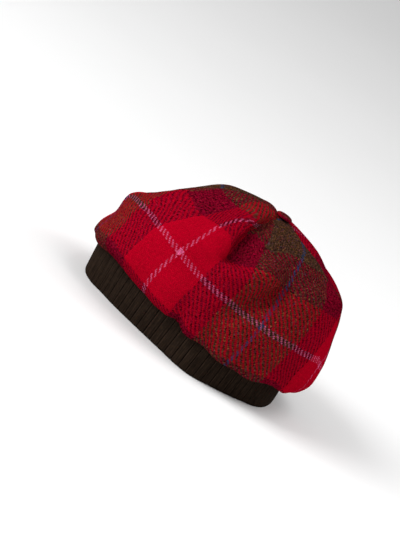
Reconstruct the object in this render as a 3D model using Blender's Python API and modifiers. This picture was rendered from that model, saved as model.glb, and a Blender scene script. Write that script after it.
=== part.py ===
"""Tam o'shanter of tartan wool with a ribbed knit head band, standing on its band.

Two half panels are sewn together along the front and the back. Each half has a dart that runs
down its side from the top button, and its gathered lower edge blouses over the knit band.
+Z is up, the front of the hat faces -Y and its left side faces +X. The origin is on the surface
that the band rests on, below the middle of the crown.
"""

import math
from collections import namedtuple

import bpy
from mathutils import Vector

MM = 0.001

# Driving dimensions, in millimetres
BAND_HEIGHT = 36.0
BAND_THICKNESS = 4.0
BAND_EDGE = 1.0  # rounding of the band's rims
BAND_FOOT_FRONT = -102.3  # the band's oval where it stands
BAND_FOOT_BACK = 99.8
BAND_FOOT_SIDE = 83.5
BAND_LEAN_FRONT = -0.17  # how far the oval grows for each millimetre up
BAND_LEAN_BACK = -0.044
BAND_LEAN_SIDE = 0.055
BAND_EGG = 0.25  # how much wider the head is at the back
RIB_COUNT = 70
RIB_DEPTH = 0.9
RIB_COLUMNS = ((0.0, 1.0), (0.13, 0.0), (0.87, 0.0))  # share of the pitch, share of the depth

CLOTH = 2.5  # the fulled wool's thickness
GAP = 0.3  # between neighbouring pieces
SEAM_PUFF = 9.0  # how far the cloth takes to swell beside a seam
DART_WIDTH = 9.0
DART_LIP_OFFSET = 17.0  # the lip lies in front of the dart
DART_LIP_SHARE = 0.3
GATHERS = 17

BUTTON_Y = 12.0
BUTTON_RADIUS = 8.2
BUTTON_HEIGHT = 5.8
BUTTON_PUFF = 0.55  # share of the height below the rim of the dome

# The crown's horizontal sections from the top down. A section is an oval with its front, back
# and side points. The seam columns say how deep the cloth is drawn in at the front and back
# seams, the dart columns where the dart crosses the section and how deep, and gather how much
# the cloth ripples. Steps are the mesh rows down to the next section.
Ring = namedtuple(
    "Ring",
    "front_y front_z back_y back_z side_x side_z egg front_seam back_seam dart_y dart gather steps",
)
CROWN_RINGS = (
    Ring(10.0, 140.4, 14.0, 140.2, 2.0, 140.2, 0.0, 0.0, 0.0, 11.0, 0.0, 0.0, 1),
    Ring(3.5, 140.6, 20.5, 139.8, 8.5, 140.0, 0.0, 0.0, 0.0, 9.0, 0.3, 0.0, 2),
    Ring(-16.0, 141.0, 37.0, 135.0, 25.0, 137.2, 0.0, 0.6, 2.5, 4.5, 3.0, 0.0, 2),
    Ring(-42.0, 134.2, 60.0, 127.8, 46.0, 131.5, 0.0, 1.2, 4.5, -2.0, 6.0, 0.0, 2),
    Ring(-72.0, 107.8, 82.0, 116.2, 67.0, 121.0, 0.0, 1.4, 5.0, -8.4, 8.0, 0.0, 3),
    Ring(-98.5, 81.4, 98.2, 107.8, 80.0, 110.5, 0.0, 1.2, 4.5, -9.5, 7.5, 0.0, 3),
    Ring(-109.4, 74.4, 104.2, 101.0, 86.5, 100.5, 0.0, 1.0, 3.5, -8.0, 3.0, 0.0, 2),
    Ring(-111.0, 56.4, 109.8, 79.0, 92.5, 79.0, 0.02, 1.0, 2.5, -7.0, 0.0, 0.3, 2),
    Ring(-117.2, 39.4, 117.0, 51.0, 98.5, 51.5, 0.1, 1.0, 2.0, -7.0, 0.0, 0.9, 2),
    Ring(-115.4, 34.8, 115.8, 32.5, 97.5, 36.0, 0.2, 0.8, 1.5, -7.0, 0.0, 1.3, 2),
    Ring(-111.4, 31.6, 109.8, 25.0, 92.0, 28.6, 0.28, 0.4, 0.8, -7.0, 0.0, 1.3, 2),
)
TUCK_Z = 33.0  # where the cloth turned under meets the band
TUCK_CLEARANCE = 0.5
TUCK_INSET = 3.2  # how far the sewn edge reaches over the band's rim

PANEL_COLUMNS = 28
SEAM_COLUMNS = (1.3, 3.4)  # extra mesh columns beside each seam, in degrees
DART_COLUMNS = (75.0, 80.5, 86.5)  # and at the dart

Finish = namedtuple("Finish", "colour roughness")
TARTAN_RED = Finish((0.48, 0.008, 0.030, 1.0), 0.93)
TARTAN_BROWN = Finish((0.17, 0.085, 0.030, 1.0), 0.93)
BAND_BROWN = Finish((0.028, 0.019, 0.014, 1.0), 0.95)


def clear_scene():
    for thing in list(bpy.data.objects):
        bpy.data.objects.remove(thing, do_unlink=True)


def material(name, finish):
    made = bpy.data.materials.new(name)
    made.use_nodes = True
    shader = made.node_tree.nodes["Principled BSDF"]
    shader.inputs["Base Color"].default_value = finish.colour
    shader.inputs["Roughness"].default_value = finish.roughness
    shader.inputs["Metallic"].default_value = 0.0
    made.diffuse_color = finish.colour
    return made


def grid_object(name, rows, closed_rows, finish, collection):
    """A skin through rows of points. A row closes on itself, and so do the rows where told."""
    width = len(rows[0])
    points = [point * MM for row in rows for point in row]
    last_row = len(rows) if closed_rows else len(rows) - 1
    last_column = width if closed_rows else width - 1
    faces = []
    for r in range(last_row):
        below = (r + 1) % len(rows)
        for c in range(last_column):
            beside = (c + 1) % width
            faces.append(
                (r * width + c, below * width + c, below * width + beside, r * width + beside)
            )
    mesh = bpy.data.meshes.new(name)
    mesh.from_pydata(points, [], faces)
    mesh.materials.append(material(name, finish))
    mesh.shade_smooth()
    made = bpy.data.objects.new(name, mesh)
    collection.objects.link(made)
    return made


def oval_point(front, back, side, egg, angle):
    """X and Y of an oval that is wider towards the back; the angle runs from the front."""
    lean = -math.cos(angle)
    widest = 1.0
    if egg > 0.0:
        turn = (math.sqrt(1.0 + 8.0 * egg * egg) - 1.0) / (4.0 * egg)
        widest = math.sqrt(1.0 - turn * turn) * (1.0 + egg * turn)
    x = side * math.sin(angle) * (1.0 + egg * lean) / widest
    y = 0.5 * (back + front) + 0.5 * (back - front) * lean
    return x, y


def ring_point(ring, angle):
    x, y = oval_point(ring.front_y, ring.back_y, ring.side_x, ring.egg, angle)
    lean = -math.cos(angle)
    tilt = 0.5 * (ring.back_z - ring.front_z) * lean
    arch = (0.5 * (ring.back_z + ring.front_z) - ring.side_z) * lean * lean
    return Vector((x, y, ring.side_z + tilt + arch))


def band_oval(height, grow):
    """Front, back and side of the band's outer wall at a height, moved out by grow."""
    return (
        BAND_FOOT_FRONT + BAND_LEAN_FRONT * height - grow,
        BAND_FOOT_BACK + BAND_LEAN_BACK * height + grow,
        BAND_FOOT_SIDE + BAND_LEAN_SIDE * height + grow,
    )


def band_ring(height, grow):
    """A section of the crown where it lies against the band."""
    front, back, side = band_oval(height, grow)
    return Ring(front, height, back, height, side, height, BAND_EGG, 0, 0, 0, 0, 0, 2)


def crown_rings():
    over_rim = BAND_HEIGHT + GAP + 0.1
    return CROWN_RINGS + (
        band_ring(TUCK_Z, TUCK_CLEARANCE),
        band_ring(over_rim, TUCK_CLEARANCE),
        band_ring(over_rim, -TUCK_INSET),
    )


def hermite(points, index, t):
    """A smooth curve through points, between index and the next one."""

    def slope(i):
        if i == 0 or i == len(points) - 1:
            j = min(i, len(points) - 2)
            step = points[j + 1] - points[j]
            return step / step.length
        before = points[i] - points[i - 1]
        after = points[i + 1] - points[i]
        a, b = before.length, after.length
        return (before * (b / a) + after * (a / b)) / (a + b)

    start, end = points[index], points[index + 1]
    reach = (end - start).length
    t2, t3 = t * t, t * t * t
    return (
        start * (2 * t3 - 3 * t2 + 1)
        + slope(index) * (reach * (t3 - 2 * t2 + t))
        + end * (3 * t2 - 2 * t3)
        + slope(index + 1) * (reach * (t3 - t2))
    )


def crown_skin(rings, angle, level):
    """A point of the crown before its seams and dart are drawn in; level counts sections."""
    index = min(int(level), len(rings) - 2)
    return hermite([ring_point(ring, angle) for ring in rings], index, level - index)


def column_value(rings, column, level):
    index = min(int(level), len(rings) - 2)
    share = level - index
    return getattr(rings[index], column) * (1 - share) + getattr(rings[index + 1], column) * share


def relief(rings, point, angle, level):
    """How far the cloth stands out, or is drawn in, at a point of the crown."""
    seam = column_value(rings, "back_seam" if angle > 0.5 * math.pi else "front_seam", level)
    drawn = -seam * math.exp(-abs(point.x) / SEAM_PUFF)
    across = point.y - column_value(rings, "dart_y", level)
    dart = column_value(rings, "dart", level)
    drawn -= dart * math.exp(-((across / DART_WIDTH) ** 2))
    drawn += DART_LIP_SHARE * dart * math.exp(-(((across + DART_LIP_OFFSET) / DART_WIDTH) ** 2))
    ripple = math.sin(GATHERS * angle + 1.4 * math.sin(3.0 * angle))
    return drawn + column_value(rings, "gather", level) * ripple


def crown_point(rings, angle, level):
    nudge = 0.01
    here = crown_skin(rings, angle, level)
    along = crown_skin(rings, angle + nudge, level) - here
    down_level = level - nudge if level > len(rings) - 1.5 else level + nudge
    down = crown_skin(rings, angle, down_level) - here
    if down_level < level:
        down = -down
    outward = down.cross(along).normalized()
    return here + outward * relief(rings, here, angle, level)


def panel_angles():
    angles = [math.pi * i / PANEL_COLUMNS for i in range(PANEL_COLUMNS + 1)]
    angles += [math.radians(a) for a in SEAM_COLUMNS]
    angles += [math.pi - math.radians(a) for a in SEAM_COLUMNS]
    angles += [math.radians(a) for a in DART_COLUMNS]
    return sorted(angles)


def crown_levels(rings):
    levels = []
    for index, ring in enumerate(rings[:-1]):
        levels += [index + step / ring.steps for step in range(ring.steps)]
    return levels + [len(rings) - 1.0]


def crown_panel(name, hand, finish, collection):
    """One half of the crown; hand is 1 for the wearer's left and -1 for the right."""
    rings = crown_rings()
    half_gap = 0.5 * GAP
    rows = []
    for level in crown_levels(rings):
        row = []
        for angle in panel_angles():
            point = crown_point(rings, angle, level)
            row.append(Vector((hand * max(point.x, half_gap), point.y, point.z)))
        rows.append(row if hand > 0 else row[::-1])
    panel = grid_object(name, rows, False, finish, collection)
    wall = panel.modifiers.new("cloth", "SOLIDIFY")
    wall.thickness = CLOTH * MM
    wall.offset = -1.0
    return panel


def band_columns():
    """Angles round the band with the rib's groove depth at each."""
    pitch = 2.0 * math.pi / RIB_COUNT
    return [(pitch * (rib + share), depth) for rib in range(RIB_COUNT) for share, depth in RIB_COLUMNS]


def rib_band(name, finish, collection):
    """The doubled knit band: up the ribbed outer wall and down the plain inner one."""
    inner = -BAND_THICKNESS
    profile = (
        # height, how far out, share of the rib's depth
        (0.0, inner + BAND_EDGE, 0.0),
        (0.0, -BAND_EDGE, 0.0),
        (BAND_EDGE, -0.2, 1.0),
        (BAND_HEIGHT - BAND_EDGE, -0.1, 1.0),
        (BAND_HEIGHT, -BAND_EDGE, 0.0),
        (BAND_HEIGHT, inner + BAND_EDGE, 0.0),
        (BAND_HEIGHT - BAND_EDGE, inner + 0.1, 0.0),
        (BAND_EDGE, inner + 0.1, 0.0),
    )
    rows = []
    for height, out, ribbed in profile:
        row = []
        for angle, depth in band_columns():
            front, back, side = band_oval(height, out - RIB_DEPTH * depth * ribbed)
            x, y = oval_point(front, back, side, BAND_EGG, angle)
            row.append(Vector((x, y, height)))
        rows.append(row[::-1])
    return grid_object(name, rows, True, finish, collection)


def top_button(name, finish, collection):
    """The covered button: a flattened dome on the meeting point of the seams."""
    rings = crown_rings()
    seat = max(rings[1].front_z, rings[1].back_z, rings[1].side_z) + GAP
    bpy.ops.mesh.primitive_uv_sphere_add(
        segments=24, ring_count=12, radius=BUTTON_RADIUS * MM, location=(0.0, 0.0, 0.0)
    )
    button = bpy.context.object
    button.name = name
    button.data.name = name
    for corner in button.data.vertices:
        share = corner.co.z / (BUTTON_RADIUS * MM)
        if share >= 0.0:
            rise = BUTTON_HEIGHT * (1.0 - BUTTON_PUFF) * share
        else:
            rise = BUTTON_HEIGHT * BUTTON_PUFF * max(share * 1.6, -1.0)
        corner.co.z = (seat + BUTTON_HEIGHT * BUTTON_PUFF + rise) * MM
        corner.co.y += BUTTON_Y * MM
    button.data.materials.append(material(name, finish))
    button.data.shade_smooth()
    for holder in list(button.users_collection):
        holder.objects.unlink(button)
    collection.objects.link(button)
    return button


def build():
    clear_scene()
    collection = bpy.data.collections.new("tam_o_shanter")
    bpy.context.scene.collection.children.link(collection)
    rib_band("rib_band", BAND_BROWN, collection)
    crown_panel("crown_left_panel", 1, TARTAN_RED, collection)
    crown_panel("crown_right_panel", -1, TARTAN_RED, collection)
    top_button("top_button", TARTAN_BROWN, collection)


build()
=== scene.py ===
"""Tam o'shanter of tartan wool with a ribbed knit head band, dressed for a studio picture.

The crown is two half panels of one tartan cloth, sewn along the front and the back, each with a
dart down its side. The band is a doubled rib knit, and a small button covers the point where the
seams meet. Lengths are millimetres in the part's own frame, unless a comment says otherwise: +Z
is up, the front of the hat faces -Y and its left side faces +X.
"""

from __future__ import annotations

import logging
import math
from dataclasses import dataclass, field
from enum import Enum
from typing import NamedTuple, Sequence

import bpy
import numpy as np
from mathutils import Matrix, Vector


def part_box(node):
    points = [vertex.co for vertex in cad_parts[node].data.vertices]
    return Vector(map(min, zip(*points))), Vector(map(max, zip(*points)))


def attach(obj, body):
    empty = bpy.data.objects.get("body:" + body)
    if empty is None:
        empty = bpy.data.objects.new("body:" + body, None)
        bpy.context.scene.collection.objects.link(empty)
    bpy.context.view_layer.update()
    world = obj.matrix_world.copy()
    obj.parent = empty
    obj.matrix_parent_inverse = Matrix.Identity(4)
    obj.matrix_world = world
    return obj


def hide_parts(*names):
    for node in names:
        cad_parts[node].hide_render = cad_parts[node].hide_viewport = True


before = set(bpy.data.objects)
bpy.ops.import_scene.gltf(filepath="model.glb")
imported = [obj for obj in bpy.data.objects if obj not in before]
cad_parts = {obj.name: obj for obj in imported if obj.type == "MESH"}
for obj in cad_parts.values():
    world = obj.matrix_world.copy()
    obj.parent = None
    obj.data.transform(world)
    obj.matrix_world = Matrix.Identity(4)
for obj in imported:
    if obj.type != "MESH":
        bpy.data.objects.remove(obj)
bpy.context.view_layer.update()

MM = 0.001
TINY = 1e-9  # keeps a quotient finite where a length is 0
START_SIZE = 0.2  # metres of a grid before its points are placed

log = logging.getLogger("tam_o_shanter")


# Helpers for meshes


def deselect_all() -> None:
    """Leave no object selected, so that an operator acts on the new piece alone."""
    if bpy.context.object is not None and bpy.context.object.mode != "OBJECT":
        bpy.ops.object.mode_set(mode="OBJECT")
    bpy.ops.object.select_all(action="DESELECT")


def pick_out(piece: bpy.types.Object) -> None:
    """Select one piece alone and make it the active one.

    Args:
        piece: the mesh object.
    """
    deselect_all()
    piece.select_set(True)
    bpy.context.view_layer.objects.active = piece


def newest(name: str) -> bpy.types.Object:
    """The object that the last primitive made, under its proper name.

    Args:
        name: the piece's name.

    Returns:
        The object, which is active.
    """
    made = bpy.context.object
    made.name = name
    made.data.name = name
    return made


def move_points(piece: bpy.types.Object, points: np.ndarray) -> None:
    """Put a mesh's vertices where the points say.

    Args:
        piece: the mesh object.
        points: (vertices, 3) in millimetres.
    """
    piece.data.vertices.foreach_set("co", (points.reshape(-1) * MM).astype(np.float32))
    piece.data.update()


def corner_vertices(piece: bpy.types.Object) -> np.ndarray:
    """The vertex at each face corner of a mesh.

    Args:
        piece: the mesh object.

    Returns:
        A vertex number for each corner.
    """
    held = np.zeros(len(piece.data.loops), dtype=np.int32)
    piece.data.loops.foreach_get("vertex_index", held)
    return held


def write_map(piece: bpy.types.Object, name: str, flat: np.ndarray) -> None:
    """Keep the cloth's own coordinates as the mesh's UV map.

    Args:
        piece: the mesh object.
        name: the map's name.
        flat: (corners, 2) in millimetres of cloth.
    """
    layers = piece.data.uv_layers
    layer = layers[0] if layers else layers.new(name=name)
    layer.name = name
    layer.data.foreach_set("uv", flat.reshape(-1).astype(np.float32))


def dress(piece: bpy.types.Object, finish: bpy.types.Material) -> None:
    """Give a piece its finish and shade it smooth all over.

    Args:
        piece: the mesh object.
        finish: its material.
    """
    piece.data.materials.clear()
    piece.data.materials.append(finish)
    pick_out(piece)
    bpy.ops.object.shade_smooth()


def apply_solidify(piece: bpy.types.Object, thickness: float) -> None:
    """Give an open sheet its thickness on the inner side, and apply it.

    Args:
        piece: the sheet, with its faces pointing out.
        thickness: the cloth's thickness in millimetres.
    """
    pick_out(piece)
    wall = piece.modifiers.new("cloth", "SOLIDIFY")
    wall.thickness = thickness * MM
    wall.offset = -1.0
    wall.use_even_offset = False
    bpy.ops.object.modifier_apply(modifier=wall.name)


def bell(distance: np.ndarray, reach: float | np.ndarray) -> np.ndarray:
    """A soft bump, 1 at no distance and nearly 0 at twice its reach."""
    return np.exp(-((distance / reach) ** 2))


def fade(value: np.ndarray, start: float, end: float) -> np.ndarray:
    """0 up to the start and 1 past the end, in a straight line between them."""
    return np.clip((value - start) / (end - start), 0.0, 1.0)


def turn_between(first: np.ndarray, second: np.ndarray) -> np.ndarray:
    """Twice the area between two flat vectors, negative where they turn clockwise."""
    return first[..., 0] * second[..., 1] - first[..., 1] * second[..., 0]


# Helpers for materials


class Value:
    """A node's output: a number or a colour that differs from point to point."""

    def __init__(self, wiring: Wiring, socket: bpy.types.NodeSocket) -> None:
        """Keep the output's socket and the nodes that it belongs to."""
        self.wiring = wiring
        self.socket = socket

    def __add__(self, other: Feed) -> Value:
        """The sum."""
        return self.wiring.math("ADD", self, other)

    def __sub__(self, other: Feed) -> Value:
        """The difference."""
        return self.wiring.math("SUBTRACT", self, other)

    def __rsub__(self, other: Feed) -> Value:
        """How much less this is than a plain number."""
        return self.wiring.math("SUBTRACT", other, self)

    def __mul__(self, other: Feed) -> Value:
        """The product."""
        return self.wiring.math("MULTIPLY", self, other)

    def __truediv__(self, other: Feed) -> Value:
        """The quotient."""
        return self.wiring.math("DIVIDE", self, other)


Feed = Value | float | tuple  # what an input takes: an output, or a plain number or colour
Stops = Sequence[tuple[float, tuple]]  # each stop's place from 0 to 1, and its colour
USUAL = (0.3, 0.7)  # the values of a noise that count as none and as all of it


class Grain(NamedTuple):
    """A smooth noise: its waves per unit, how many finer layers it has and how strong they are."""

    scale: float
    detail: float = 2.0
    rough: float = 0.5


class Wiring:
    """Adds and joins the nodes of one material."""

    def __init__(self, name: str) -> None:
        """Start a material that has a Principled shader and its output.

        Args:
            name: the material's name.
        """
        self.material = bpy.data.materials.new(name)
        self.material.use_nodes = True
        self.tree = self.material.node_tree
        self.shader = self.tree.nodes["Principled BSDF"]

    def feed(self, socket: bpy.types.NodeSocket, value: Feed) -> None:
        """Join an input to an output, or set it to a plain value.

        Args:
            socket: the input.
            value: what it takes.
        """
        if isinstance(value, Value):
            self.tree.links.new(value.socket, socket)
        else:
            socket.default_value = value

    def node(self, kind: str, *feeds: Feed) -> bpy.types.Node:
        """A new node with its first inputs fed in order.

        Args:
            kind: Blender's name of the node.
            feeds: what the first inputs take.

        Returns:
            The node.
        """
        made = self.tree.nodes.new(kind)
        for socket, value in zip(made.inputs, feeds):
            self.feed(socket, value)
        return made

    def math(self, operation: str, *operands: Feed) -> Value:
        """One step of arithmetic.

        Args:
            operation: Blender's name of the step.
            operands: what it works on, in order.

        Returns:
            The result.
        """
        node = self.node("ShaderNodeMath", *operands)
        node.operation = operation
        return Value(self, node.outputs[0])

    def mix(self, share: Feed, first: Feed, second: Feed, blend: str = "MIX") -> Value:
        """Two colours mixed.

        Args:
            share: how much of the second colour shows.
            first: the colour below.
            second: the colour above.
            blend: Blender's name of the way to mix them.

        Returns:
            The mixed colour.
        """
        node = self.tree.nodes.new("ShaderNodeMix")
        node.data_type = "RGBA"
        node.blend_type = blend
        for place, value in ((0, share), (6, first), (7, second)):
            self.feed(node.inputs[place], value)
        return Value(self, node.outputs[2])

    def shade(self, colour: Feed, times: Feed) -> Value:
        """A colour made as many times as bright."""
        return self.mix(1.0, colour, self.vector(times, times, times), "MULTIPLY")

    def ramp(self, share: Feed, stops: Stops, sharp: bool) -> Value:
        """A colour looked up along a row of stops.

        Args:
            share: the place along the row, from 0 to 1.
            stops: the row, in order.
            sharp: whether a stop's colour lasts up to the next one or blends into it.

        Returns:
            The colour.
        """
        node = self.node("ShaderNodeValToRGB", share)
        node.color_ramp.interpolation = "CONSTANT" if sharp else "LINEAR"
        elements = node.color_ramp.elements
        while len(elements) < len(stops):
            elements.new(1.0)
        for element, (place, colour) in zip(elements, stops):
            element.position = place
            element.color = (*colour, 1.0)
        return Value(self, node.outputs[0])

    def vector(self, x: Feed, y: Feed, z: Feed = 0.0) -> Value:
        """A vector from three values."""
        return Value(self, self.node("ShaderNodeCombineXYZ", x, y, z).outputs[0])

    def parts(self, vector: Feed) -> list[Value]:
        """The three values of a vector."""
        node = self.node("ShaderNodeSeparateXYZ", vector)
        return [Value(self, socket) for socket in node.outputs]

    def noise(self, where: Feed, grain: Grain) -> Value:
        """Smooth noise between 0 and 1.

        Args:
            where: the vector.
            grain: the noise's kind.

        Returns:
            The noise.
        """
        node = self.node("ShaderNodeTexNoise", where)
        for name, value in zip(("Scale", "Detail", "Roughness"), grain):
            node.inputs[name].default_value = value
        return Value(self, node.outputs[0])

    def scatter(self, where: Feed) -> Value:
        """A random value between 0 and 1 for each whole number.

        Args:
            where: the number.

        Returns:
            The value.
        """
        node = self.tree.nodes.new("ShaderNodeTexWhiteNoise")
        node.noise_dimensions = "1D"
        self.feed(node.inputs["W"], where)
        return Value(self, node.outputs[0])

    def stretch(
        self, value: Feed, low: float, high: float, to_low: float = 0.0, to_high: float = 1.0
    ) -> Value:
        """A value moved from one range to another and kept inside it."""
        return Value(self, self.node("ShaderNodeMapRange", value, low, high, to_low, to_high).outputs[0])

    def cloth_place(self, layer: str) -> tuple[Value, Value]:
        """Where a point lies on the flat cloth.

        Args:
            layer: the map's name.

        Returns:
            The place across the warp and the place along it, as the map has them.
        """
        node = self.tree.nodes.new("ShaderNodeUVMap")
        node.uv_map = layer
        across, along, _ = self.parts(Value(self, node.outputs[0]))
        return across, along

    def finish(self, colour: Feed, roughness: Feed, shine: float = 0.5) -> bpy.types.Material:
        """Give the shader its colour and gloss.

        Args:
            colour: the surface's colour.
            roughness: how matt it is.
            shine: the level of its mirror-like part.

        Returns:
            The finished material.
        """
        self.feed(self.shader.inputs["Base Color"], colour)
        self.feed(self.shader.inputs["Roughness"], roughness)
        self.shader.inputs["Specular IOR Level"].default_value = shine
        return self.material

    def raise_surface(self, height: Value, depth: float, strength: float = 0.5) -> None:
        """Bump the surface by a height between 0 and 1.

        Args:
            height: the height.
            depth: how high 1 is, in millimetres.
            strength: how much of it shows.
        """
        node = self.tree.nodes.new("ShaderNodeBump")
        node.inputs["Strength"].default_value = strength
        node.inputs["Distance"].default_value = depth * MM
        self.feed(node.inputs["Height"], height)
        self.tree.links.new(node.outputs[0], self.shader.inputs["Normal"])


# Finishes


@dataclass(frozen=True)
class Yarn:
    """One dyed yarn of the tartan.

    Its colour, how many odd fibres it has, how unevenly it took the dye and how much its floats
    narrow towards their ends.
    """

    colour: tuple[float, float, float]
    flecks: float
    grain: float
    thin: float = 0.0


class Stripe(NamedTuple):
    """One stripe of the sett, from the middle of the pale line to the middle of the blue one."""

    ends_at: float
    yarn: Yarn


SCARLET = Yarn((0.350, 0.0002, 0.0106), 0.03, 0.17)
BURGUNDY = Yarn((0.136, 0.0003, 0.0104), 0.09, 1.0)
HEATHER = Yarn((0.041, 0.0178, 0.0125), 0.80, 0.92)
ROSE = Yarn((0.66, 0.092, 0.225), 0.45, 0.50, 0.78)
BLUE = Yarn((0.012, 0.040, 0.100), 0.20, 0.40, 0.1)


class Streak(NamedTuple):
    """Unevenness along a yarn, as noise that is drawn out along it.

    It says how unlike neighbouring yarns are, how long a streak is in millimetres, its seed, its
    grain, and which values of the noise count as none and as all of it.
    """

    unlike: float
    length: float
    seed: float
    grain: Grain
    none: float
    all: float

    def read(self, wiring: Wiring, thread: Value, along: Value, seed: float) -> Value:
        """How much of it there is, from 0 to 1.

        Args:
            wiring: the material's nodes.
            thread: the thread's number.
            along: the place along the thread, in millimetres.
            seed: tells the sets of threads apart.

        Returns:
            The share.
        """
        where = wiring.vector(thread * self.unlike, along / self.length, seed + self.seed)
        return wiring.stretch(wiring.noise(where, self.grain), self.none, self.all)


@dataclass(frozen=True)
class TartanWool:
    """Heather wool in a two and two twill, with the same symmetric sett both ways.

    The map's first coordinate runs across the warp threads and the second along them, both in
    millimetres of cloth, and the pale lines cross where both are 0.
    """

    name: str
    layer: str = "cloth"
    thread_across: float = 1.10  # millimetres of cloth for a warp thread
    thread_along: float = 1.32  # and for a weft thread
    half_sett: float = 96.0  # from the pale line to the blue line, across the warp
    sett_stretch: float = 1.21  # the sett is longer along the warp
    twill: float = 4.0  # threads until the weave repeats
    wander: float = 1.6  # how far a thread strays from its line over some 9 mm
    ragged: float = 1.3  # and over less than 1 mm
    wandering: Grain = Grain(0.11, 1.0)
    raggedness: Grain = Grain(1.1)
    warp_seed: float = 1.0
    weft_seed: float = 5.0
    turned_seed: float = 4.0  # tells noise that is read across the cloth from noise along it
    felting: float = 0.10  # how far the two sets of threads have run into each other
    nap: Grain = Grain(1.3, 3.0, 0.65)
    fuzz: float = 0.45  # how unevenly the nap hides one set or the other
    patch: Grain = Grain(0.36, 2.0, 0.6)
    patches: float = 0.26  # and how much that changes over a few millimetres
    dulling: float = 0.25  # how much unlike threads dull each other where they cross
    float_end: float = 0.6  # how steeply a float dives at its ends
    nap_height: float = 0.9  # beside a float's height of 1
    # Painted shade and highlight: the gaps between threads are darkened and the floats' tops lightened, by
    # their height.
    shaded: tuple[float, float] = (0.3, 1.4)  # the heights of the gaps and of the threads' tops, for the painted shade and highlight
    painted_gap_shade: float = 0.74  # and how bright they are: painted shade in the gaps, painted highlight on the tops
    painted_float_highlight: float = 1.10
    fibres: Streak = Streak(2.1, 2.4, 0.0, Grain(1.0, 3.0, 0.6), 0.28, 0.72)  # an odd fibre's colour
    tufts: Streak = Streak(1.3, 1.8, 9.0, Grain(1.0, 2.0, 0.6), 0.42, 0.60)  # where those show
    slubs: Streak = Streak(0.9, 1.9, 17.0, Grain(1.0, 2.0, 0.6), 0.34, 0.70)  # deep or weak dye
    slub_dark: float = 0.95  # how much darker a yarn is where its slubs have none
    slub_light: float = 1.1  # and how much lighter where they have all
    dye_least: float = 0.92  # the least and the most that a whole thread is shaded
    dye_most: float = 1.08
    darkest: float = 0.15
    relief: float = 0.35
    roughness: float = 0.95
    shine: float = 0.0
    stripes: tuple[Stripe, ...] = (
        Stripe(1.7, ROSE),
        Stripe(31.0, SCARLET),
        Stripe(59.0, BURGUNDY),
        Stripe(94.3, HEATHER),
        Stripe(96.0, BLUE),
    )
    fleck_colours: tuple[tuple[float, tuple[float, float, float]], ...] = (
        (0.0, (0.010, 0.008, 0.005)),
        (0.34, (0.022, 0.018, 0.007)),
        (0.46, (0.050, 0.030, 0.008)),
        (0.54, (0.150, 0.036, 0.010)),
        (0.61, (0.200, 0.092, 0.020)),
        (0.68, (0.014, 0.024, 0.046)),
        (0.77, (0.070, 0.020, 0.052)),
        (0.86, (0.190, 0.008, 0.024)),
    )

    def stops(self) -> tuple[list, list]:
        """The sett as ramp stops.

        Returns:
            The stops of the yarns' colours, and those of their flecks, grain and thinness.
        """
        starts = [0.0] + [stripe.ends_at / self.half_sett for stripe in self.stripes[:-1]]
        yarns = [stripe.yarn for stripe in self.stripes]
        colours = [(place, yarn.colour) for place, yarn in zip(starts, yarns)]
        spinning = [(place, (yarn.flecks, yarn.grain, yarn.thin)) for place, yarn in zip(starts, yarns)]
        return colours, spinning

    def yarn(
        self, wiring: Wiring, thread: Value, pitch: float, half: float, along: Value, seed: float
    ) -> tuple[Value, Value]:
        """The colour of one set of threads.

        Args:
            wiring: the material's nodes.
            thread: the thread's number.
            pitch: a thread's share of the cloth, in millimetres.
            half: half the sett along this set, in millimetres.
            along: the place along the thread, in millimetres.
            seed: tells the sets of threads apart.

        Returns:
            The colour, and how much the floats narrow.
        """
        centre = thread * pitch + 0.5 * pitch
        place = wiring.math("PINGPONG", centre, half) / half
        colours, spinning = self.stops()
        colour = wiring.ramp(place, colours, True)
        fleckiness, grain, thin = wiring.parts(wiring.ramp(place, spinning, True))
        fibres, tufts, slubs = (
            streak.read(wiring, thread, along, seed) for streak in (self.fibres, self.tufts, self.slubs)
        )
        fleck = wiring.ramp(fibres, self.fleck_colours, False)
        dyed = wiring.mix(tufts * fleckiness, colour, fleck)
        uneven = slubs * (self.slub_dark + self.slub_light) - self.slub_dark
        depth = wiring.scatter(thread) * (self.dye_most - self.dye_least) + self.dye_least
        shade = wiring.math("MAXIMUM", uneven * grain + depth, self.darkest)
        return wiring.shade(dyed, shade), thin

    def stray(self, wiring: Wiring, where: Value) -> Value:
        """How far a thread strays from its line.

        Args:
            wiring: the material's nodes.
            where: the place on the cloth.

        Returns:
            Millimetres across the thread.
        """
        slow = wiring.noise(where, self.wandering) - 0.5
        quick = wiring.noise(where, self.raggedness) - 0.5
        return quick * self.ragged + slow * self.wander

    def make(self) -> bpy.types.Material:
        """Wire the wool, with its weave from the piece's own map.

        Returns:
            The material.
        """
        wiring = Wiring(self.name)
        across, along = wiring.cloth_place(self.layer)
        cloth, turned = wiring.vector(across, along), wiring.vector(along, across, self.turned_seed)
        across = self.stray(wiring, cloth) + across
        along = self.stray(wiring, turned) + along
        warp_place, weft_place = across / self.thread_across, along / self.thread_along
        warp, weft = wiring.math("FLOOR", warp_place), wiring.math("FLOOR", weft_place)
        in_warp, in_weft = wiring.math("FRACT", warp_place), wiring.math("FRACT", weft_place)
        turn = wiring.math("FLOORED_MODULO", warp + weft, self.twill)
        warp_shows = wiring.math("LESS_THAN", turn, 0.5 * self.twill - 0.5)
        warp_colour, warp_thin = self.yarn(
            wiring, warp, self.thread_across, self.half_sett, along, self.warp_seed
        )
        weft_colour, weft_thin = self.yarn(
            wiring, weft, self.thread_along, self.half_sett * self.sett_stretch, across, self.weft_seed
        )
        warp_height = self.float_height(wiring, in_warp, turn + in_weft)
        weft_height = self.float_height(wiring, in_weft, turn + in_warp - 0.5 * self.twill)

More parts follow.
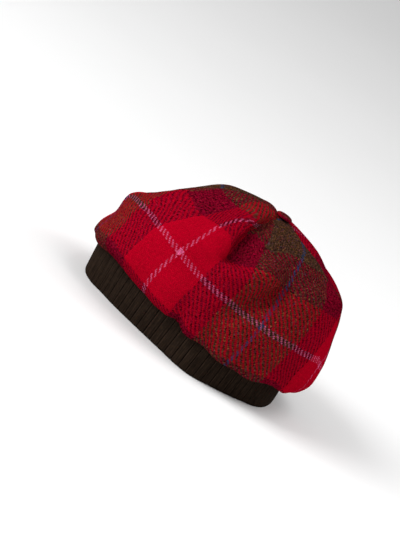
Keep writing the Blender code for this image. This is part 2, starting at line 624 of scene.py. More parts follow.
        nap = wiring.noise(cloth, self.nap)
        patch = wiring.noise(turned, self.patch)
        share = warp_shows * (1.0 - 2.0 * self.felting) + self.felting
        share = share - warp_thin * (1.0 - warp_height) + weft_thin * (1.0 - weft_height)
        share = share + wiring.stretch(patch, *USUAL, -self.patches, self.patches)
        share = share + wiring.stretch(nap, *USUAL, -self.fuzz, self.fuzz)
        share = wiring.math("MINIMUM", wiring.math("MAXIMUM", share, 0.0), 1.0)
        warp_red, weft_red = wiring.parts(warp_colour)[0], wiring.parts(weft_colour)[0]
        unlike = wiring.math("ABSOLUTE", warp_red - weft_red) / (warp_red + weft_red + 0.001)

        height = warp_shows * warp_height + (1.0 - warp_shows) * weft_height + nap * self.nap_height
        # painted shade in the gaps between threads and painted highlight on the floats' tops
        painted_weave_shade = wiring.stretch(height, *self.shaded, self.painted_gap_shade, self.painted_float_highlight)
        colour = wiring.mix(share, weft_colour, warp_colour)
        colour = wiring.shade(colour, (1.0 - unlike * self.dulling) * painted_weave_shade)
        wiring.raise_surface(height, self.relief)
        return wiring.finish(colour, self.roughness, self.shine)

    def float_height(self, wiring: Wiring, inside: Value, turn: Value) -> Value:
        """How high a thread stands where it floats over two others.

        Args:
            wiring: the material's nodes.
            inside: the place across the thread, from 0 to 1.
            turn: the place along the float, from 0 to 2.

        Returns:
            The height, from 0 to 1.
        """
        off_middle = inside * 2.0 - 1.0
        rise = wiring.math("MAXIMUM", wiring.math("SINE", turn * (0.5 * math.pi)), 0.0)
        return (1.0 - off_middle * off_middle) * wiring.math("POWER", rise, self.float_end)


@dataclass(frozen=True)
class RibKnit:
    """Dark brown wool knitted in ribs, with the loops of each wale as fine chevrons."""

    name: str
    layer: str = "cloth"
    rib: float = 5.0  # the map's first coordinate counts wales, and so many are a rib
    # painted shade in the grooves and down each rib's middle, and painted highlights along the ribs' edges
    painted_rib_shading: tuple[tuple[float, float], ...] = (
        (0.0, 0.60), (0.05, 0.80), (0.09, 1.60), (0.14, 1.30), (0.20, 0.90), (0.30, 0.82),
        (0.36, 1.15), (0.44, 0.98), (0.50, 0.70), (0.56, 1.28), (0.64, 0.98), (0.74, 0.80),
        (0.80, 1.10), (0.93, 0.95), (0.985, 0.60),
    )
    course: float = 1.25  # millimetres of band for a row of loops
    wale: float = 1.4  # and across a wale, nearly
    chevron: float = 1.3  # how many rows the arms of a loop climb in a wale
    nap: Grain = Grain(1.1, 4.0, 0.65)
    nap_share: float = 0.6  # how much the nap blurs the loops
    nap_height: float = 0.5
    loop_share: float = 0.9
    light: tuple[float, float, float] = (0.0285, 0.0180, 0.0125)
    dark: tuple[float, float, float] = (0.0090, 0.0056, 0.0038)
    light_from: float = 0.75  # how high on the loops the light colour starts: painted shade low in each loop, painted light at its top
    tints: tuple[tuple[float, tuple[float, float, float]], ...] = (
        (0.3, (0.82, 0.80, 0.78)), (0.5, (1.0, 1.0, 1.0)), (0.7, (1.22, 1.16, 1.0)),
    )
    tinting: Grain = Grain(0.35, 3.0, 0.6)
    streaks: Grain = Grain(1.0, 2.0, 0.6)
    streak_place: tuple[float, float, float] = (0.9, 0.06, 7.0)  # for a wale and a millimetre, and a seed
    streak_shades: tuple[float, float] = (0.62, 1.34)
    matt: tuple[float, float] = (0.88, 1.0)  # the roughness of the loops and of the nap
    relief: float = 0.4
    shine: float = 0.02

    def make(self) -> bpy.types.Material:
        """Wire the knit, with its loops from the piece's own map.

        Returns:
            The material.
        """
        wiring = Wiring(self.name)
        wales, height = wiring.cloth_place(self.layer)
        lean = wiring.math("ABSOLUTE", wiring.math("FRACT", wales) - 0.5)
        rows = height / self.course + lean * self.chevron
        loops = wiring.math("PINGPONG", wiring.math("FRACT", rows), 0.5)
        spread = wiring.vector(wales * self.wale, height)
        nap = wiring.noise(spread, self.nap)
        # Painted shade: darker low in each loop and lighter at its top, with the nap's random tone mixed in.
        place = loops * self.loop_share + (nap * self.nap_share - 0.25 * self.nap_share)
        colour = wiring.ramp(place, ((0.0, self.dark), (self.light_from, self.light)), False)
        for_wale, for_height, seed = self.streak_place
        streak = wiring.noise(wiring.vector(wales * for_wale, height * for_height, seed), self.streaks)
        colour = wiring.shade(colour, wiring.stretch(streak, *USUAL, *self.streak_shades))
        # painted shade in the grooves and painted highlights beside them, by the place across each rib
        in_rib = wiring.math("FRACT", wales / self.rib)
        line = wiring.ramp(in_rib, [(at, (shade, shade, shade)) for at, shade in self.painted_rib_shading], False)
        tint = wiring.ramp(wiring.noise(spread, self.tinting), self.tints, False)
        for layer in (line, tint):
            colour = wiring.mix(1.0, colour, layer, "MULTIPLY")
        wiring.raise_surface(nap * self.nap_height + loops, self.relief)
        return wiring.finish(colour, wiring.stretch(nap, *USUAL, *self.matt), self.shine)


@dataclass(frozen=True)
class PaleFloor:
    """A matt pale floor with a faint grain."""

    name: str = "pale_floor"
    colour: tuple[float, float, float] = (0.92, 0.92, 0.92)
    grain: Grain = Grain(3.0, 3.0)
    lighter: float = 1.02  # how much lighter the light grains are
    roughness: float = 0.9

    def make(self) -> bpy.types.Material:
        """Wire the floor's finish.

        Returns:
            The material.
        """
        wiring = Wiring(self.name)
        where = Value(wiring, wiring.tree.nodes.new("ShaderNodeTexCoord").outputs["Object"])
        light = tuple(min(1.0, value * self.lighter) for value in self.colour)
        colour = wiring.ramp(wiring.noise(where, self.grain), tuple(zip(USUAL, (self.colour, light))), False)
        return wiring.finish(colour, self.roughness)


# The crown


class Section(NamedTuple):
    """A level of the crown from the button down: an oval and what the cloth does on it."""

    front_y: float
    front_z: float
    back_y: float
    back_z: float
    side_x: float
    side_z: float
    egg: float
    front_seam: float
    back_seam: float
    dart_y: float
    gather: float


@dataclass(frozen=True)
class HeadOval:
    """The oval of the knit band, which is wider at the back and leans out towards the front."""

    foot_front: float = -102.3
    foot_back: float = 99.8
    foot_side: float = 83.5
    lean_front: float = -0.17
    lean_back: float = -0.044
    lean_side: float = 0.055
    egg: float = 0.25
    dart_y: float = -7.0  # where the darts' lines run out
    height: float = 36.0
    thickness: float = 4.0

    def reach(self, height: float, grow: float) -> tuple[float, float, float]:
        """How far the wall reaches at a height.

        Args:
            height: millimetres above the foot.
            grow: how far the wall is moved out.

        Returns:
            The front's Y, the back's Y and the side's X.
        """
        return (
            self.foot_front + self.lean_front * height - grow,
            self.foot_back + self.lean_back * height + grow,
            self.foot_side + self.lean_side * height + grow,
        )

    def section(self, height: float, grow: float) -> Section:
        """A section of the crown where it lies against the band."""
        front, back, side = self.reach(height, grow)
        return Section(front, height, back, height, side, height, self.egg, 0, 0, self.dart_y, 0)


def egg_width(egg: np.ndarray) -> np.ndarray:
    """How wide the egg curve is at its widest, for the sides to keep their size.

    Args:
        egg: how much wider the oval is at the back, 0 for an even one.

    Returns:
        The width, 1 for an even oval.
    """
    safe = np.maximum(egg, 1e-6)
    turn = (np.sqrt(1.0 + 8.0 * safe * safe) - 1.0) / (4.0 * safe)
    return np.sqrt(1.0 - turn * turn) * (1.0 + safe * turn)


def read_sections(table: np.ndarray, level: float | np.ndarray) -> dict[str, np.ndarray]:
    """Every column of the sections by its name, read at one or more levels."""
    spots = np.arange(len(table))
    return {name: np.interp(level, spots, column) for name, column in zip(Section._fields, table.T)}


CROWN_SECTIONS = (
    Section(10.0, 140.4, 14.0, 140.2, 2.0, 140.2, 0.0, 0.0, 0.0, 11.0, 0.0),
    Section(3.5, 140.6, 20.5, 139.8, 8.5, 140.0, 0.0, 0.0, 0.0, 7.5, 0.0),
    Section(-16.0, 142.0, 37.0, 135.0, 25.0, 137.2, 0.0, 1.0, 1.6, 1.0, 0.0),
    Section(-42.0, 134.9, 60.0, 128.6, 46.0, 131.5, 0.0, 2.0, 3.8, -6.0, 0.0),
    Section(-72.0, 110.6, 82.0, 117.0, 67.0, 121.0, 0.0, 2.2, 3.8, -10.0, 0.0),
    Section(-98.0, 86.4, 99.4, 109.2, 80.0, 110.5, 0.0, 1.0, 3.6, -9.5, 0.0),
    Section(-109.2, 77.4, 103.8, 100.2, 86.5, 100.5, 0.0, 1.0, 3.5, -7.5, 0.0),
    Section(-111.0, 56.4, 110.6, 79.0, 92.5, 79.0, 0.02, 1.0, 2.5, -8.0, 0.3),
    Section(-117.3, 38.8, 118.0, 50.0, 98.5, 51.5, 0.1, 1.0, 2.0, -7.0, 0.8),
    Section(-116.9, 34.0, 117.2, 30.6, 97.5, 36.0, 0.2, 0.8, 1.5, -7.0, 1.1),
    Section(-111.4, 31.6, 110.8, 22.6, 92.0, 28.6, 0.28, 0.4, 0.8, -7.0, 1.1),
)
FRONT_DRIFT = (
    (0.0, 0.0), (1.6, 0.0), (2.0, 0.5), (2.4, 3.0), (2.8, 4.5), (3.1, 5.0), (3.4, 3.2), (3.8, -1.0),
    (4.4, -4.5), (5.6, -4.5), (6.8, 0.0), (14.0, 0.0),
)
BACK_DRIFT = (
    (0.0, 0.0), (1.2, 0.5), (2.0, 2.0), (3.0, 4.2), (3.9, 7.0), (4.5, 9.8), (5.2, 10.8), (6.0, 9.2),
    (7.0, 5.8), (8.2, 2.4), (9.5, 0.4), (14.0, 0.0),
)


class Station(NamedTuple):
    """A place along a fold: its section, its Y, how deep it is and how its sides slope.

    The fold falls steeply from its front side and rises softly on its back side. The ridge
    swells in front of it, and the roll is how far that ridge leans over the fold.
    """

    section: float
    y: float
    depth: float
    front_reach: float
    back_reach: float
    ridge: float
    roll: float


@dataclass(frozen=True)
class Fold:
    """A fold down the side of a panel, through its stations.

    The ridge and its roll are placed ahead of the fold, in reaches of the fold's front side.
    """

    stations: tuple[Station, ...]
    bowl: float = 1.9  # how flat the bottom is towards the back
    ridge_ahead: float = 2.6
    ridge_reach: float = 1.9
    roll_ahead: float = 1.25
    roll_reach: float = 1.15

    def at(self, level: np.ndarray) -> list[np.ndarray]:
        """Each column of the stations, read at the levels."""
        table = np.array(self.stations)
        return [np.interp(level, table[:, 0], column) for column in table.T[1:]]

    def relief(self, y: np.ndarray, level: np.ndarray) -> np.ndarray:
        """How far the cloth stands out of the crown, negative where it is drawn in.

        Args:
            y: each point's place along the hat.
            level: each point's section number.

        Returns:
            Millimetres along the surface's normal.
        """
        line, depth, front, back, ridge, _ = self.at(level)
        across = y - line
        reach = np.where(across < 0.0, front, back)
        valley = np.exp(-np.abs(across / reach) ** np.where(across < 0.0, 2.0, self.bowl))
        return ridge * bell(across + self.ridge_ahead * front, self.ridge_reach * front) - depth * valley

    def roll(self, y: np.ndarray, level: np.ndarray) -> np.ndarray:
        """How far the ridge leans back over the fold, in millimetres along Y."""
        line, _, front, _, _, roll = self.at(level)
        return roll * bell(y - line + self.roll_ahead * front, self.roll_reach * front)


class Swell(NamedTuple):
    """A soft bump of the cloth, or a dent where its height is negative."""

    section: float
    y: float
    height: float
    reach_sections: float
    reach_y: float

    def relief(self, y: np.ndarray, level: np.ndarray) -> np.ndarray:
        """Millimetres along the surface's normal."""
        near = bell(level - self.section, self.reach_sections) * bell(y - self.y, self.reach_y)
        return self.height * near


class Way(Enum):
    """Which of the cloth's two coordinates stays the same along a line of the pattern."""

    WARP = 0
    WEFT = 1


@dataclass(frozen=True)
class PatternLine:
    """A line of the pattern and where it runs on the hat.

    The points are seen from the side: how far behind the view's middle, and how far above it.
    """

    way: Way
    thread: float
    points: tuple[tuple[float, float], ...]


VIEW_RISE = math.radians(15.0)  # the side view looks down by this much
VIEW_TURN = math.radians(1.0)  # and is turned by this much
VIEW_MIDDLE = (6.0, 43.2)


def side_view(points: np.ndarray) -> np.ndarray:
    """Points as the pattern's lines are given, seen from the side.

    Args:
        points: (..., 3) on the hat.

    Returns:
        (..., 3): how far behind the view's middle, how far above it, and how near.
    """
    x = points[..., 0]
    along = points[..., 1] - VIEW_MIDDLE[0]
    up = points[..., 2] * math.cos(VIEW_RISE) - x * math.sin(VIEW_RISE) - VIEW_MIDDLE[1]
    near = points[..., 2] * math.sin(VIEW_RISE) + x * math.cos(VIEW_RISE)
    cos, sin = math.cos(VIEW_TURN), math.sin(VIEW_TURN)
    return np.stack([along * cos + up * sin, up * cos - along * sin, near], axis=-1)


@dataclass(frozen=True)
class FlatCloth:
    """Lays a curved panel out flat with as little stretch as it can.

    Each small triangle of the panel keeps its own shape as well as its neighbours allow, and the
    lines of the pattern draw the points under them to their threads.
    """

    lines: tuple[PatternLine, ...]
    rounds: int = 60
    pull: float = 20.0
    softest: float = 0.05  # the least and the most that an edge's stiffness may be
    stiffest: float = 20.0
    edge_slack: float = 1e-6  # how far outside a triangle still counts as on it

    def flatten(self, points: np.ndarray, triangles: np.ndarray, start: np.ndarray) -> np.ndarray:
        """The flat place of each point.

        Args:
            points: (points, 3) on the curved panel.
            triangles: (triangles, 3) of point numbers.
            start: (points, 2), a rough layout without folded triangles.

        Returns:
            (points, 2) in millimetres of cloth.
        """
        local = self.local_shapes(points[triangles])
        weights = self.edge_weights(local)
        count = len(points)
        stiffness = np.zeros((count, count))
        for k in range(3):
            i, j, w = triangles[:, k], triangles[:, (k + 1) % 3], weights[:, k]
            np.add.at(stiffness, (i, i), w)
            np.add.at(stiffness, (j, j), w)
            np.add.at(stiffness, (i, j), -w)
            np.add.at(stiffness, (j, i), -w)
        solvers, targets = [], []
        for way in Way:
            matrix, target = stiffness.copy(), np.zeros(count)
            for line in self.lines:
                if line.way is way:
                    self.tie(line, points, triangles, matrix, target)
            matrix[np.diag_indices(count)] += TINY
            solvers.append(np.linalg.inv(matrix))
            targets.append(target)
        flat = start.copy()
        for _ in range(self.rounds):
            pushed = self.pushes(flat, local, weights, triangles)
            moved = [solvers[way.value] @ (pushed[:, way.value] + targets[way.value]) for way in Way]
            flat = np.stack(moved, axis=-1)
        return flat

    @staticmethod
    def local_shapes(corners: np.ndarray) -> np.ndarray:
        """Each triangle in its own plane.

        Args:
            corners: (triangles, 3, 3), the triangles in space.

        Returns:
            (triangles, 3, 2).
        """
        base, side = corners[:, 1] - corners[:, 0], corners[:, 2] - corners[:, 0]
        length = np.linalg.norm(base, axis=1)
        flat = np.zeros((len(corners), 3, 2))
        flat[:, 1, 0] = length
        flat[:, 2, 0] = (base * side).sum(1) / np.maximum(length, TINY)
        flat[:, 2, 1] = np.linalg.norm(np.cross(base, side), axis=1) / np.maximum(length, TINY)
        return flat

    def edge_weights(self, local: np.ndarray) -> np.ndarray:
        """How stiff each triangle's edges are, from the angles across from them.

        Args:
            local: the triangles in their own planes.

        Returns:
            (triangles, 3), each edge under its first corner.
        """
        weights = []
        for k in range(3):
            tip = local[:, (k + 2) % 3]
            a, b = local[:, k] - tip, local[:, (k + 1) % 3] - tip
            turn = np.maximum(np.abs(turn_between(a, b)), TINY)
            weights.append(np.clip(0.5 * (a * b).sum(1) / turn, self.softest, self.stiffest))
        return np.stack(weights, axis=1)

    @staticmethod
    def pushes(
        flat: np.ndarray, local: np.ndarray, weights: np.ndarray, triangles: np.ndarray
    ) -> np.ndarray:
        """Where the triangles' own shapes push the flat points.

        Args:
            flat: the present layout.
            local: the triangles in their own planes.
            weights: the edges' stiffness.
            triangles: the point numbers.

        Returns:
            (points, 2), the right side of the layout's equations.
        """
        corners = flat[triangles]
        now = corners - np.roll(corners, -1, axis=1)
        own = local - np.roll(local, -1, axis=1)
        same = (weights * (now * own).sum(-1)).sum(1)
        turned = (weights * turn_between(own, now)).sum(1)
        size = np.maximum(np.hypot(same, turned), TINY)
        cos, sin = (same / size)[:, None], (turned / size)[:, None]
        x, y = own[..., 0], own[..., 1]
        push = weights[..., None] * np.stack([cos * x - sin * y, sin * x + cos * y], axis=-1)
        pushed = np.zeros_like(flat)
        np.add.at(pushed, triangles, push)
        np.add.at(pushed, np.roll(triangles, -1, axis=1), -push)
        return pushed

    def tie(
        self,
        line: PatternLine,
        points: np.ndarray,
        triangles: np.ndarray,
        matrix: np.ndarray,
        target: np.ndarray,
    ) -> None:
        """Draw the cloth under a line's points to the line's thread.

        Args:
            line: the pattern's line.
            points: the curved panel's points.
            triangles: the point numbers.
            matrix: the layout's equations, which are added to.
            target: their right side, which is added to.
        """
        corners = side_view(points)[triangles]
        a, b, c = (corners[:, k, :2] for k in range(3))
        area = turn_between(b - a, c - a)
        area = np.where(np.abs(area) < TINY, TINY, area)
        for place in line.points:
            share_b = turn_between(np.array(place) - a, c - a) / area
            share_c = turn_between(b - a, np.array(place) - a) / area
            shares = np.stack([1.0 - share_b - share_c, share_b, share_c], axis=1)
            inside = shares.min(axis=1) > -self.edge_slack
            if not inside.any():
                log.info("line %s %s misses the panel at %s %s", line.way.name, line.thread, *place)
                continue
            near = (shares * corners[..., 2]).sum(1)
            hit = int(np.argmax(np.where(inside, near, -np.inf)))
            spots, share = triangles[hit], shares[hit]
            matrix[np.ix_(spots, spots)] += self.pull * np.outer(share, share)
            target[spots] += self.pull * share * line.thread


class Wave(NamedTuple):
    """One of the crossing waves in which soft cloth lies."""

    height: float
    run: tuple[float, float, float]  # radians for a millimetre of X, Y and Z
    turn: float  # how much it differs between the two panels


@dataclass(frozen=True)
class Shoulder:
    """How the crown falls away on both sides of its front ridge."""

    drop: float = 6.0
    y: float = -88.0
    reach_y: float = 26.0
    ridge: float = 24.0  # how far to each side the ridge keeps its height
    sets_in: tuple[float, float] = (3.4, 4.4)  # between these sections
    dies_out: tuple[float, float] = (7.2, 6.0)

    def relief(self, skin: np.ndarray, level: np.ndarray) -> np.ndarray:
        """How far the crown falls away.

        Args:
            skin: the smooth skin's points.
            level: each point's section number.

        Returns:
            Millimetres along the surface's normal, negative where it is lower.
        """
        share = fade(level, *self.sets_in) * fade(level, *self.dies_out)
        share *= bell(skin[..., 1] - self.y, self.reach_y)
        return -self.drop * share * (1.0 - bell(skin[..., 0], self.ridge))


@dataclass(frozen=True)
class SewnSeam:
    """How the cloth is drawn in and puckers beside the front or the back seam."""

    reach: float = 3.0  # how far from a shallow seam the cloth is drawn in
    spread: float = 1.2  # and how much further for a millimetre of the seam's depth
    pucker: float = 0.22
    pucker_gain: float = 3.0  # how soon a deeper seam puckers fully
    pucker_reach: float = 5.0
    pucker_turn: float = 0.85  # radians for a millimetre of seam
    drift: float = 2.0  # how far the puckers leave an even spacing, in radians
    drift_turn: float = 0.11

    def relief(self, x: np.ndarray, y: np.ndarray, depth: np.ndarray) -> np.ndarray:
        """How far the cloth stands out.

        Args:
            x: each point's distance from the seam.
            y: its place along the hat.
            depth: the seam's depth beside it.

        Returns:
            Millimetres along the surface's normal.
        """
        inward = np.clip(1.0 - x / (self.reach + self.spread * depth), 0.0, 1.0)
        puckers = np.sin(self.pucker_turn * y + self.drift * np.sin(self.drift_turn * y))
        sewn = np.clip(self.pucker_gain * depth, 0.0, 1.0) * np.exp(-x / self.pucker_reach)
        return self.pucker * sewn * puckers - depth * (1.0 - np.sqrt(1.0 - inward**2))


@dataclass
class CrownPanel:
    """One half of the crown: a darted piece of tartan cloth from the button to the band."""

    node: str
    hand: int  # 1 for the wearer's left, -1 for the right
    folds: tuple[Fold, ...]
    swells: tuple[Swell, ...]
    lines: tuple[PatternLine, ...]
    hem_shift: tuple[tuple[float, float], ...]  # Y, and how far the hem is moved up there
    oval: HeadOval = field(default_factory=HeadOval)
    columns: int = 240
    rows: int = 150
    dart_column: int = 110
    crowding: float = 0.10  # how much closer the columns stand beside the dart and the seams
    coarse: int = 5  # every fifth row and column carries the flat layout
    cloth: float = 2.5
    front_drift: tuple[tuple[float, float], ...] = FRONT_DRIFT  # section, and the seam's X there
    back_drift: tuple[tuple[float, float], ...] = BACK_DRIFT
    shoulder: Shoulder = Shoulder()
    seam: SewnSeam = SewnSeam()
    tuck_z: float = 33.0
    tuck_clearance: float = 0.5
    tuck_inset: float = 3.2
    tuck_rise: float = 0.4  # how far over the band the cloth's edge is sewn
    gathers: int = 17
    gather_drift: float = 1.4  # how far the gathers leave an even spacing, in radians
    gather_drifts: float = 3.0  # and how many times in a full turn
    still: float = 16.0  # how far beside a seam the cloth can't gather or wave
    waver: float = 0.7
    waves: tuple[Wave, ...] = (
        Wave(1.0, (0.0, 0.071, 0.052), 1.3),
        Wave(0.8, (0.031, 0.043, -0.083), 2.6),
        Wave(0.5, (-0.05, 0.128, 0.094), 4.03),
    )
    waves_set_in: tuple[float, float] = (0.8, 2.3)  # between these sections
    waves_die_out: tuple[float, float] = (10.6, 9.6)
    hem_sets_in: tuple[float, float] = (7.6, 9.2)
    hem_dies_out: tuple[float, float] = (10.95, 10.05)
    dart_end: float = 6.0  # the section where the dart's stitching stops
    dart_limit: float = 0.9  # keeps the dart off both seams
    rim: float = 0.0  # how far the cloth stands up beside the back seam
    rim_place: tuple[float, float] = (6.5, 3.9)  # distance from the seam, and section
    rim_reach: tuple[float, float] = (4.0, 1.3)
    fan_radius: float = 6.0  # the rough flat layout is a fan, from this radius
    fan_turn: float = 0.72  # and with this share of each bearing
    fan_centre: float = 125.0  # millimetres of cloth from the pale line

    def sections(self) -> np.ndarray:
        """All sections from the button to the edge sewn over the band.

        Returns:
            A table with a row for each section.
        """
        over = self.oval.height + self.tuck_rise
        lower = (
            self.oval.section(self.tuck_z, self.tuck_clearance),
            self.oval.section(over, self.tuck_clearance),
            self.oval.section(over, -self.tuck_inset),
        )
        return np.array(CROWN_SECTIONS + lower, dtype=float)

    def knots(self, table: np.ndarray, bearing: np.ndarray) -> np.ndarray:
        """Where every section stands at each bearing.

        Args:
            table: the sections.
            bearing: the bearings, in radians from the front.

        Returns:
            (sections, bearings, 3).
        """
        s = {name: table[:, k, None] for k, name in enumerate(Section._fields)}
        lean = -np.cos(bearing)[None, :]
        x = s["side_x"] * np.sin(bearing) * (1.0 + s["egg"] * lean) / egg_width(s["egg"])
        y = 0.5 * (s["back_y"] + s["front_y"]) + 0.5 * (s["back_y"] - s["front_y"]) * lean
        arch = 0.5 * (s["back_z"] + s["front_z"]) - s["side_z"]
        z = s["side_z"] + 0.5 * (s["back_z"] - s["front_z"]) * lean + arch * lean * lean
        return np.stack([x, y, z], axis=-1)

    @staticmethod
    def slope(knots: np.ndarray, index: int) -> np.ndarray:
        """Which way the smooth skin runs down through a section.

        Args:
            knots: where every section stands at each bearing.
            index: the section's number.

        Returns:
            (bearings, 3), about 1 long.
        """
        last = len(knots) - 1
        if index in (0, last):
            step = knots[1] - knots[0] if index == 0 else knots[last] - knots[last - 1]
            return step / np.linalg.norm(step, axis=-1, keepdims=True)
        before, after = knots[index] - knots[index - 1], knots[index + 1] - knots[index]
        a = np.linalg.norm(before, axis=-1, keepdims=True)
        b = np.linalg.norm(after, axis=-1, keepdims=True)
        return (before * (b / a) + after * (a / b)) / (a + b)

    def between(self, knots: np.ndarray, level: float) -> np.ndarray:
        """The smooth skin between the sections, at one level for every bearing.

        Args:
            knots: where every section stands at each bearing.
            level: the level's section number, with its fraction.

        Returns:
            (bearings, 3).
        """
        index = min(int(level), len(knots) - 2)
        t = level - index
        start, end = knots[index], knots[index + 1]
        reach = np.linalg.norm(end - start, axis=-1, keepdims=True)
        t2, t3 = t * t, t * t * t
        return (
            start * (2 * t3 - 3 * t2 + 1)
            + self.slope(knots, index) * reach * (t3 - 2 * t2 + t)
            + end * (3 * t2 - 2 * t3)
            + self.slope(knots, index + 1) * reach * (t3 - t2)
        )

    def levels(self, table: np.ndarray) -> np.ndarray:
        """The level of each row of the mesh, evenly spaced down the side.

        Args:
            table: the sections.

        Returns:
            A section number for each row, with its fraction.
        """
        side = self.knots(table, np.array([0.5 * math.pi]))[:, 0]
        steps = np.linalg.norm(np.diff(side, axis=0), axis=1)
        reach = np.concatenate([[0.0], np.cumsum(steps)])
        return np.interp(np.linspace(0.0, reach[-1], self.rows + 1), reach, np.arange(len(table)))

    def bearings(self, table: np.ndarray, level: float) -> np.ndarray:
        """The bearing of each column at a level, with one column kept on the dart.

        Columns stand closer together beside the dart and beside both seams.

        Args:
            table: the sections.
            level: the level's section number.

        Returns:
            The bearings, in radians from the front.
        """
        s = read_sections(table, level)
        middle, half = 0.5 * (s["back_y"] + s["front_y"]), 0.5 * (s["back_y"] - s["front_y"])
        dart = math.acos(np.clip((middle - s["dart_y"]) / half, -self.dart_limit, self.dart_limit))
        front, back = (
            place - self.crowding * np.sin(2.0 * math.pi * place)
            for place in (
                np.linspace(0.0, 1.0, self.dart_column + 1),
                np.linspace(0.0, 1.0, self.columns - self.dart_column + 1),
            )
        )
        start, end = (
            self.hand * np.interp(level, *np.array(drift).T) / s["side_x"]
            for drift in (self.front_drift, self.back_drift)
        )
        return np.concatenate([start + (dart - start) * front, dart + (math.pi - end - dart) * back[1:]])

    def surface(self) -> tuple[np.ndarray, np.ndarray, np.ndarray]:
        """The panel's outer face as a grid.

        Returns:
            The points as (rows, columns, 3), each point's level, and each point's bearing.
        """
        table = self.sections()
        levels = self.levels(table)
        bearing = np.array([self.bearings(table, level) for level in levels])
        skin = np.array([self.between(self.knots(table, row), at) for row, at in zip(bearing, levels)])
        level = np.repeat(levels[:, None], skin.shape[1], axis=1)
        outward = np.cross(np.gradient(skin, axis=0), np.gradient(skin, axis=1))
        outward /= np.maximum(np.linalg.norm(outward, axis=-1, keepdims=True), TINY)
        skin = skin + outward * self.relief(skin, level, bearing, table)[..., None]
        for fold in self.folds:
            skin[..., 1] += fold.roll(skin[..., 1], level)
        skin[..., 2] += self.hem_lift(skin[..., 1], level)
        skin[..., 0] *= self.hand
        return skin, level, bearing

    def relief(
        self, skin: np.ndarray, level: np.ndarray, bearing: np.ndarray, table: np.ndarray
    ) -> np.ndarray:
        """How far the cloth stands out of the smooth skin.

        Args:
            skin: the smooth skin's points.
            level: their levels.
            bearing: their bearings.
            table: all sections.

        Returns:
            Millimetres along the surface's normal.
        """
        s = read_sections(table, level)
        behind = bearing > 0.5 * math.pi
        x = np.abs(skin[..., 0] - np.where(behind, skin[:, -1:, 0], skin[:, :1, 0]))
        y = skin[..., 1]
        out = self.seam.relief(x, y, np.where(behind, s["back_seam"], s["front_seam"]))
        out += self.shoulder.relief(skin, level)
        drift = self.gather_drift * np.sin(self.gather_drifts * bearing + self.hand)
        gathered = s["gather"] * np.sin(self.gathers * bearing + drift)
        out += (gathered + self.wavering(skin, level)) * (1.0 - bell(x, self.still))
        for shape in (*self.folds, *self.swells):
            out += shape.relief(y, level)
        near, section = self.rim_place
        rim = bell(x - near, self.rim_reach[0]) * bell(level - section, self.rim_reach[1])
        return out + self.rim * behind * rim

    def wavering(self, skin: np.ndarray, level: np.ndarray) -> np.ndarray:
        """The uneven lie of soft cloth, as a few crossing waves that fade at the button and band.

        Args:
            skin: the smooth skin's points.
            level: their levels.

        Returns:
            Millimetres along the surface's normal.
        """
        waves = sum(
            wave.height * np.sin(skin @ np.array(wave.run) + wave.turn * self.hand) for wave in self.waves
        )
        return self.waver * waves * fade(level, *self.waves_set_in) * fade(level, *self.waves_die_out)

    def hem_lift(self, y: np.ndarray, level: np.ndarray) -> np.ndarray:
        """How far the blousing hem is moved up, in millimetres."""
        share = fade(level, *self.hem_sets_in) * fade(level, *self.hem_dies_out)
        return np.interp(y, *np.array(self.hem_shift).T) * share * share * (3.0 - 2.0 * share)

    def layout(self, skin: np.ndarray, level: np.ndarray, bearing: np.ndarray) -> np.ndarray:
        """The flat place of each corner of the grid, cut along the dart.

        Args:
            skin: the outer face's points.
            level: their levels.
            bearing: their bearings.

        Returns:
            (2, rows, columns, 2) in millimetres: the layout with the dart's front side, then
            with its back side, at the dart's own column.
        """
        step = self.coarse
        few = skin[::step, ::step]
        rows, columns = few.shape[:2]
        dart = self.dart_column // step
        slit = np.nonzero(level[::step, 0] < self.dart_end)[0]
        number = np.arange(rows * columns).reshape(rows, columns)
        front, back = number.copy(), number.copy()
        back[slit, dart] = rows * columns + np.arange(len(slit))
        points = np.concatenate([few.reshape(-1, 3), few[slit, dart]])
        quads = []
        for c in range(columns - 1):
            use = front if c < dart else back
            quads.append(np.stack([use[:-1, c], use[1:, c], use[1:, c + 1], use[:-1, c + 1]], axis=-1))
        quads = np.concatenate(quads)
        triangles = np.concatenate([quads[:, [0, 1, 2]], quads[:, [0, 2, 3]]])
        if self.hand < 0:
            triangles = triangles[:, ::-1]

        steps = np.linalg.norm(np.diff(few, axis=0), axis=-1).mean(axis=1)
        reach = self.fan_radius + np.concatenate([[0.0], np.cumsum(steps)])[:, None]
        turn = self.fan_turn * (bearing[::step, ::step] - 0.5 * math.pi)
        across, along = self.hand * reach * np.sin(turn), self.fan_centre - reach * np.cos(turn)
        start = np.stack([across, along], axis=-1).reshape(-1, 2)
        start = np.concatenate([start, start[number[slit, dart]]])
        flat = FlatCloth(self.lines).flatten(points, triangles, start)
        return np.array([self.refine(flat[half]) for half in (front, back)])

    def refine(self, few: np.ndarray) -> np.ndarray:
        """The coarse layout read at every row and column of the mesh.

        Args:
            few: the coarse layout.

        Returns:
            (rows, columns, 2) in millimetres.
        """
        for axis, count in enumerate((self.rows, self.columns)):
            place = np.arange(count + 1) / self.coarse
            before = np.minimum(place.astype(int), few.shape[axis] - 2)
            share = np.expand_dims(place - before, (1 - axis, 2))
            few = np.take(few, before, axis) * (1.0 - share) + np.take(few, before + 1, axis) * share
        return few

